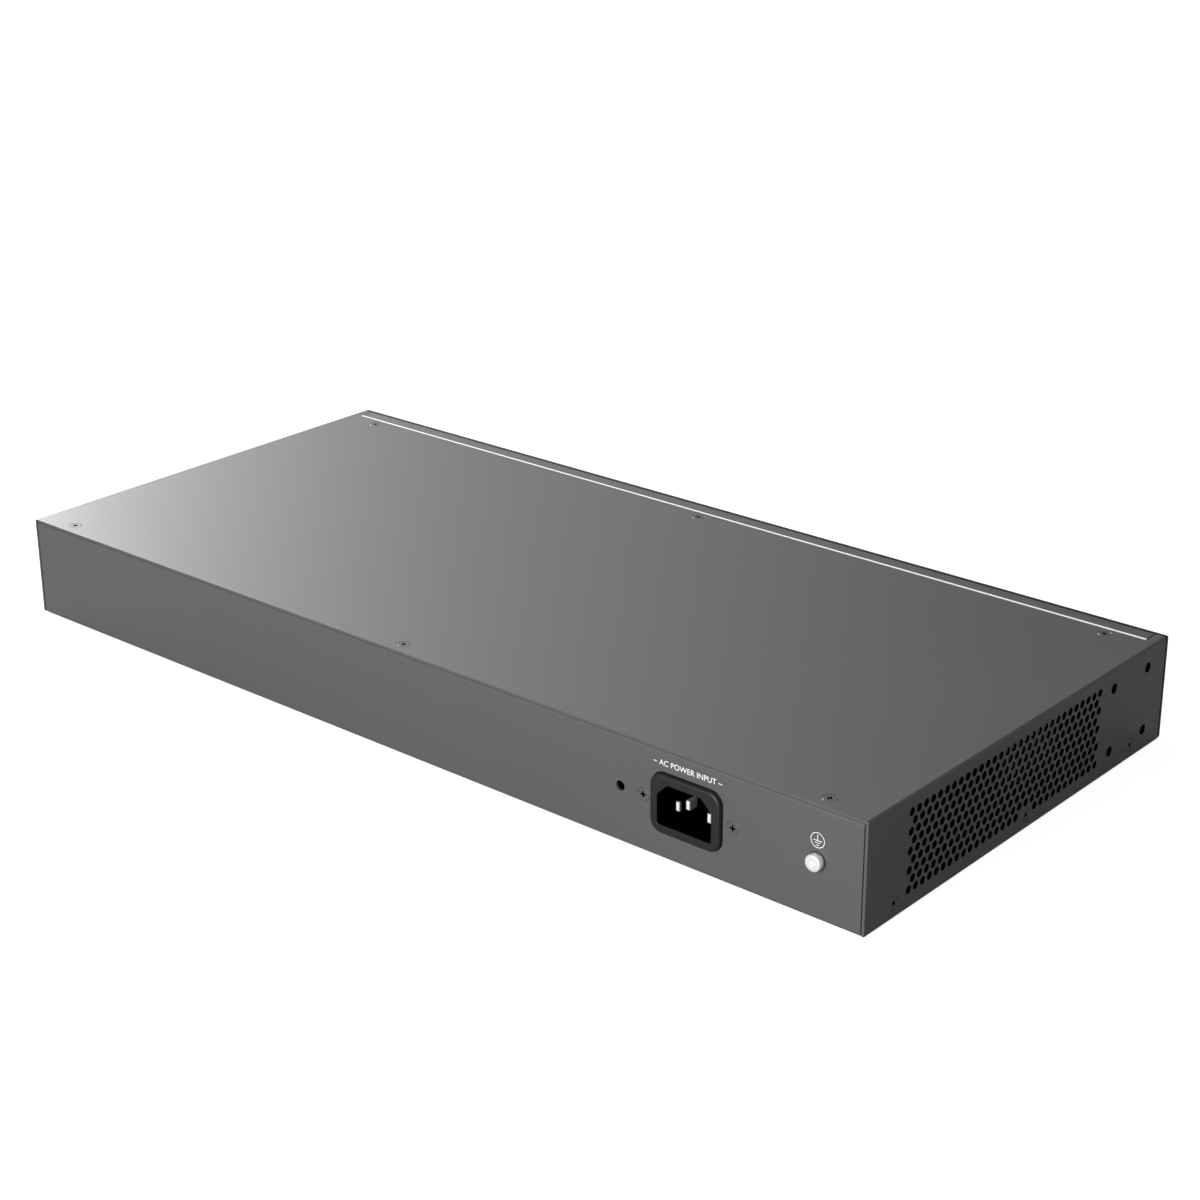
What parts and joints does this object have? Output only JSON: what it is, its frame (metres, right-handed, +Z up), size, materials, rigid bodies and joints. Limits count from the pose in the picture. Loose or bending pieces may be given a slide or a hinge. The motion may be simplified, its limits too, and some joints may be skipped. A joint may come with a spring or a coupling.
{
  "type": "network_switch",
  "caption": "Low rack-mount network switch in a folded steel case with vented sides, a mains inlet and ground screw at the rear, and network and fibre ports in front",
  "frame": {"origin": "centre of the flat underside of the case", "axes": "+Z up; the network ports face -Y and the mains inlet faces +Y; +X is to the right of someone who looks at the ports"},
  "size_m": [0.44, 0.2062, 0.0436],
  "materials": {
    "chassis_paint": "satin fine powder coat",
    "fascia_paint": "satin",
    "black_plastic": "fine matte",
    "shield_steel": "tinned",
    "screw_steel": "dark plated",
    "nickel_plate": "bright nickel",
    "contact_metal": "plated",
    "circuit_board": "solder mask",
    "chip_plastic": "moulded",
    "heatsink_alloy": "natural",
    "ferrite": "sintered",
    "winding_tape": "wound tape",
    "header_plastic": "moulded",
    "insulating_film": "smooth film",
    "capacitor_sleeve": "shrink sleeve",
    "light_pipe": "clear",
    "lead_brown": "insulated wire",
    "lead_blue": "insulated wire",
    "lead_green": "insulated wire",
    "lead_red": "insulated wire",
    "lead_black": "insulated wire"
  },
  "bodies": {
    "case": {"base_chassis": "chassis_paint", "board_power_header": "header_plastic", "bulk_capacitor": "capacitor_sleeve", "dc_lead_negative": "lead_black", "dc_lead_positive": "lead_red", "earth_lead": "lead_green", "earth_terminal": "nickel_plate", "front_fascia": "fascia_paint", "ground_nut": "nickel_plate", "ground_screw": "nickel_plate", "ground_washer": "nickel_plate", "inlet_housing": "black_plastic", "inlet_pin_earth": "contact_metal", "inlet_pin_line": "contact_metal", "inlet_pin_neutral": "contact_metal", "inlet_screw_left": "screw_steel", "inlet_screw_right": "screw_steel", "jack_housing_left": "black_plastic", "jack_housing_right": "black_plastic", "jack_shield_left": "shield_steel", "jack_shield_right": "shield_steel", "line_lead": "lead_brown", "main_board": "circuit_board", "mains_choke": "winding_tape", "mains_filter_capacitor": "winding_tape", "mains_header": "header_plastic", "mode_switch": "chip_plastic", "neutral_lead": "lead_blue", "phy_chip_centre": "chip_plastic", "phy_chip_left": "chip_plastic", "phy_chip_right": "chip_plastic", "power_board": "circuit_board", "power_heatsink": "heatsink_alloy", "power_insulator": "insulating_film", "power_output_header": "header_plastic", "reset_switch": "chip_plastic", "sfp_cage": "shield_steel", "sfp_light_pipe": "light_pipe", "side_screw_left_front": "screw_steel", "side_screw_left_middle": "screw_steel", "side_screw_left_rear": "screw_steel", "side_screw_right_front": "screw_steel", "side_screw_right_middle": "screw_steel", "side_screw_right_rear": "screw_steel", "status_light_pipe": "light_pipe", "switch_chip": "chip_plastic", "switch_heatsink": "heatsink_alloy", "top_cover": "chassis_paint", "top_screw_front_centre": "screw_steel", "top_screw_front_left": "screw_steel", "top_screw_front_right": "screw_steel", "top_screw_rear_centre": "screw_steel", "top_screw_rear_left": "screw_steel", "top_screw_rear_right": "screw_steel", "transformer_core": "ferrite", "transformer_winding": "winding_tape"},
    "mode_button_body": {"mode_button": "black_plastic"},
    "reset_button_body": {"reset_button": "black_plastic"}
  },
  "joints": [
    {"name": "mode_press", "type": "slide", "parent": "case", "child": "mode_button_body", "axis": [0, 1, 0], "range_m": [0, 0.0006], "stiffness_N_per_m": 2000, "springref_m": -0.0002},
    {"name": "reset_press", "type": "slide", "parent": "case", "child": "reset_button_body", "axis": [0, 1, 0], "range_m": [0, 0.0003], "stiffness_N_per_m": 4000, "springref_m": -0.0002}
  ]
}
